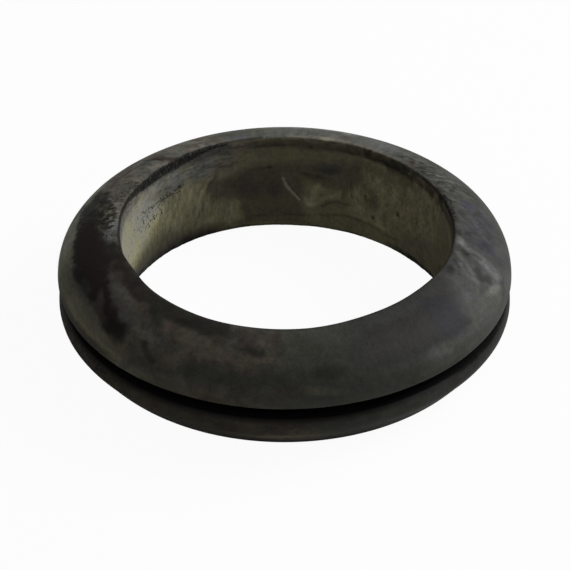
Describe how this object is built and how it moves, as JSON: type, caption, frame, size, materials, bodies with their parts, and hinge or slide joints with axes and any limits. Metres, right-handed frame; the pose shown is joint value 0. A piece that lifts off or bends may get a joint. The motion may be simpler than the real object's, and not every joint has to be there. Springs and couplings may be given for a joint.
{
  "type": "rubber grommet",
  "caption": "Round rubber grommet with a domed flange, a panel groove and a tapered foot flange, lining a hole in sheet for a cable bundle or pipe.",
  "frame": {"origin": "centre of the foot flange's flat face, on the bore's axis", "axes": "+Z along the bore's axis, from the foot flange towards the domed flange; the part is round, so X and Y are free"},
  "size_m": [0.0698, 0.0698, 0.017],
  "materials": {
    "rubber": "matt black moulded rubber with a dusty grey-olive bloom"
  },
  "bodies": {
    "root": {"grommet": "rubber"}
  },
  "joints": []
}
